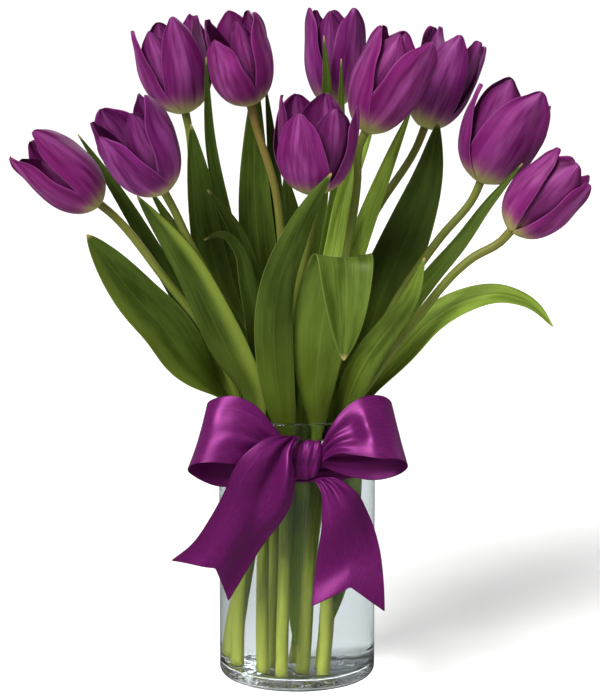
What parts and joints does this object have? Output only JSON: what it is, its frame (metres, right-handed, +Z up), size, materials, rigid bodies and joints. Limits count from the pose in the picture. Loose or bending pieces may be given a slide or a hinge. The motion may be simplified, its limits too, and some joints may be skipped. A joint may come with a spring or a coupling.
{
  "type": "tulips in a vase",
  "caption": "Purple tulips with long green leaves standing in water in a clear glass cylinder vase, tied round the neck with a purple satin bow.",
  "frame": {"origin": "centre of the vase's underside", "axes": "+Z up along the vase's axis, -Y towards the front, where the bow is tied"},
  "size_m": [0.3663, 0.1716, 0.4321],
  "materials": {
    "glass": "gloss",
    "water": "gloss",
    "stem": "satin",
    "leaf": "satin",
    "petal": "satin",
    "satin_ribbon": "satin"
  },
  "bodies": {
    "root": {"vase": "glass", "water": "water", "tulip_01_stem": "stem", "tulip_01_outer_tepals": "petal", "tulip_01_inner_tepals": "petal", "tulip_02_stem": "stem", "tulip_02_outer_tepals": "petal", "tulip_02_inner_tepals": "petal", "tulip_03_stem": "stem", "tulip_03_outer_tepals": "petal", "tulip_03_inner_tepals": "petal", "tulip_04_stem": "stem", "tulip_04_outer_tepals": "petal", "tulip_04_inner_tepals": "petal", "tulip_05_stem": "stem", "tulip_05_outer_tepals": "petal", "tulip_05_inner_tepals": "petal", "tulip_06_stem": "stem", "tulip_06_outer_tepals": "petal", "tulip_06_inner_tepals": "petal", "tulip_07_stem": "stem", "tulip_07_outer_tepals": "petal", "tulip_07_inner_tepals": "petal", "tulip_08_stem": "stem", "tulip_08_outer_tepals": "petal", "tulip_08_inner_tepals": "petal", "tulip_09_stem": "stem", "tulip_09_outer_tepals": "petal", "tulip_09_inner_tepals": "petal", "tulip_10_stem": "stem", "tulip_10_outer_tepals": "petal", "tulip_10_inner_tepals": "petal", "leaf_far_left": "leaf", "leaf_left_narrow": "leaf", "leaf_left_folded": "leaf", "leaf_left_inner": "leaf", "leaf_left_broad": "leaf", "leaf_slender_left": "leaf", "leaf_behind_left": "leaf", "leaf_dark_middle": "leaf", "leaf_pointing_left": "leaf", "leaf_curled": "leaf", "leaf_front_tall": "leaf", "leaf_front_bent": "leaf", "leaf_middle_right": "leaf", "leaf_bright_right": "leaf", "leaf_behind_middle": "leaf", "leaf_slender_middle": "leaf", "leaf_right_broad": "leaf", "leaf_right_long": "leaf", "leaf_right_front": "leaf", "leaf_far_right": "leaf", "leaf_back_middle": "leaf", "leaf_back_left": "leaf", "ribbon_band": "satin_ribbon", "ribbon_knot": "satin_ribbon", "ribbon_loop_left": "satin_ribbon", "ribbon_loop_right": "satin_ribbon", "ribbon_tail_left": "satin_ribbon", "ribbon_tail_right": "satin_ribbon"}
  },
  "joints": []
}
